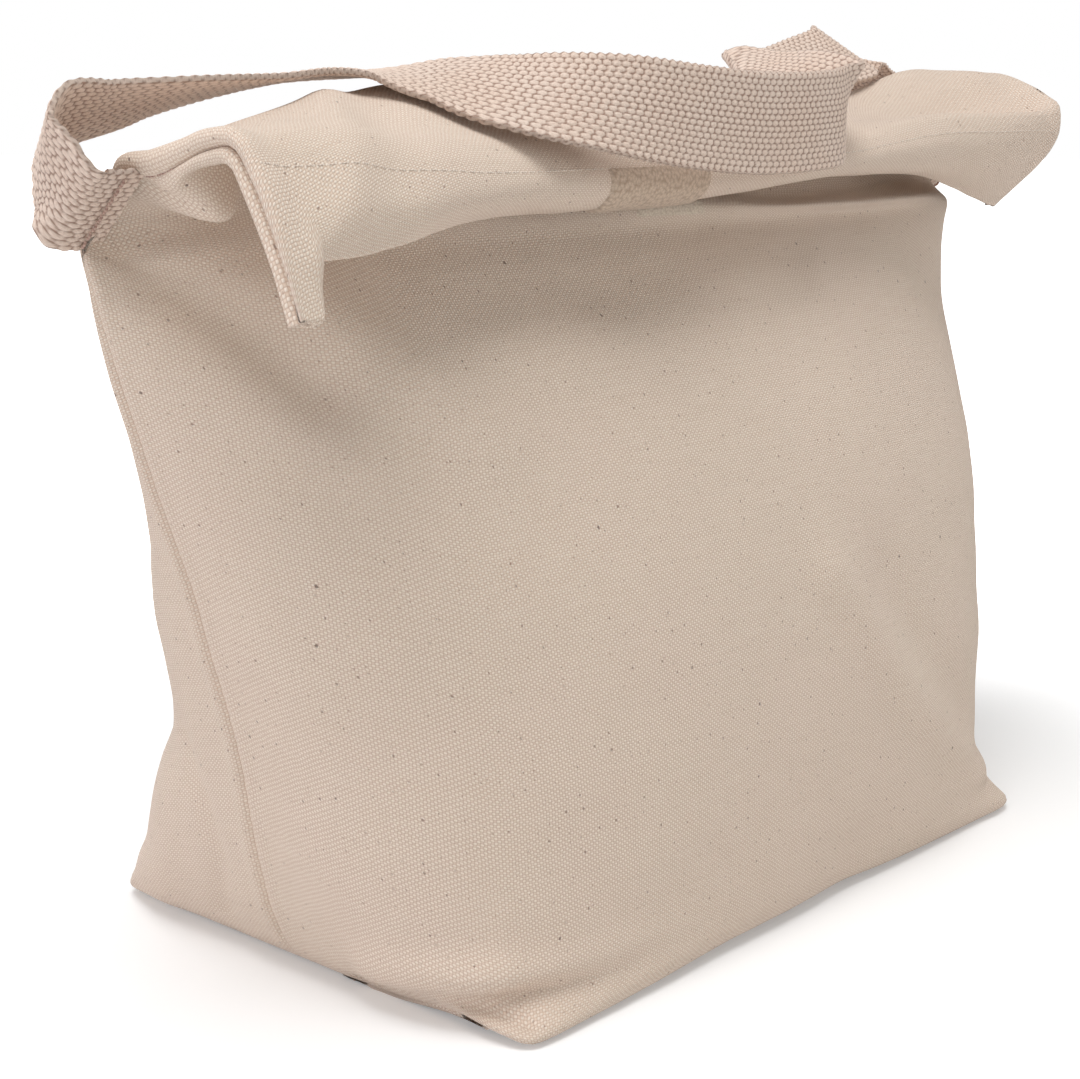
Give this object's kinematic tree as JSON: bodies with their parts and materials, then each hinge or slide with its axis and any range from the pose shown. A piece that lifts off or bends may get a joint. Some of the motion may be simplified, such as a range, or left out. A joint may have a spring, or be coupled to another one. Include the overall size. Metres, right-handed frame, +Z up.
{
  "type": "canvas lunch bag",
  "caption": "Soft canvas lunch bag with a boxed base, a fold-over top, a hook and loop patch closure and one webbing handle.",
  "frame": {"origin": "middle of the base, on the floor", "axes": "+Z up, +X from the left side seam to the right side seam, +Y towards the back, so the flap folds to -Y"},
  "size_m": [0.3792, 0.1606, 0.2404],
  "materials": {
    "canvas": "unbleached plain-weave cotton duck with dark seed flecks",
    "webbing": "coarse woven cotton webbing",
    "patch": "cream hook and loop tape",
    "thread": "natural cotton sewing thread"
  },
  "bodies": {
    "bag": {"front_panel": "canvas", "back_panel": "canvas", "left_side_seam": "canvas", "right_side_seam": "canvas", "bottom_seam": "canvas", "left_corner_seam": "canvas", "right_corner_seam": "canvas", "hook_patch": "patch", "handle_left_stitching": "thread", "handle_right_stitching": "thread", "back_fold": "canvas", "front_fold": "canvas"},
    "flap": {"flap_outer": "canvas", "flap_inner": "canvas", "flap_left_seam": "canvas", "flap_right_seam": "canvas", "front_rim": "canvas"},
    "mouth_band": {"mouth_band_outer": "canvas", "mouth_band_inner": "canvas", "band_left_seam": "canvas", "band_right_seam": "canvas", "hem_stitching": "thread", "loop_patch": "patch"},
    "handle": {"handle": "webbing"}
  },
  "joints": [
    {"name": "flap_open", "type": "hinge", "parent": "bag", "child": "flap", "pos_m": [0, -0.008, 0.203], "axis": [-1, 0, 0], "range_deg": [0, 62], "deforming": ["back_fold", "front_fold"]},
    {"name": "mouth_unroll", "type": "hinge", "parent": "flap", "child": "mouth_band", "pos_m": [0, -0.049, 0.207], "axis": [-1, 0, 0], "range_deg": [0, 66], "deforming": ["front_rim"]},
    {"name": "handle_lift", "type": "hinge", "parent": "bag", "child": "handle", "pos_m": [0, -0.008, 0.203], "axis": [-1, 0, 0], "range_deg": [0, 72]}
  ],
  "couplings": [
    {"joint": "mouth_unroll", "follows": "flap_open", "ratio": 1.0645},
    {"joint": "handle_lift", "follows": "flap_open", "ratio": 1.1613}
  ]
}
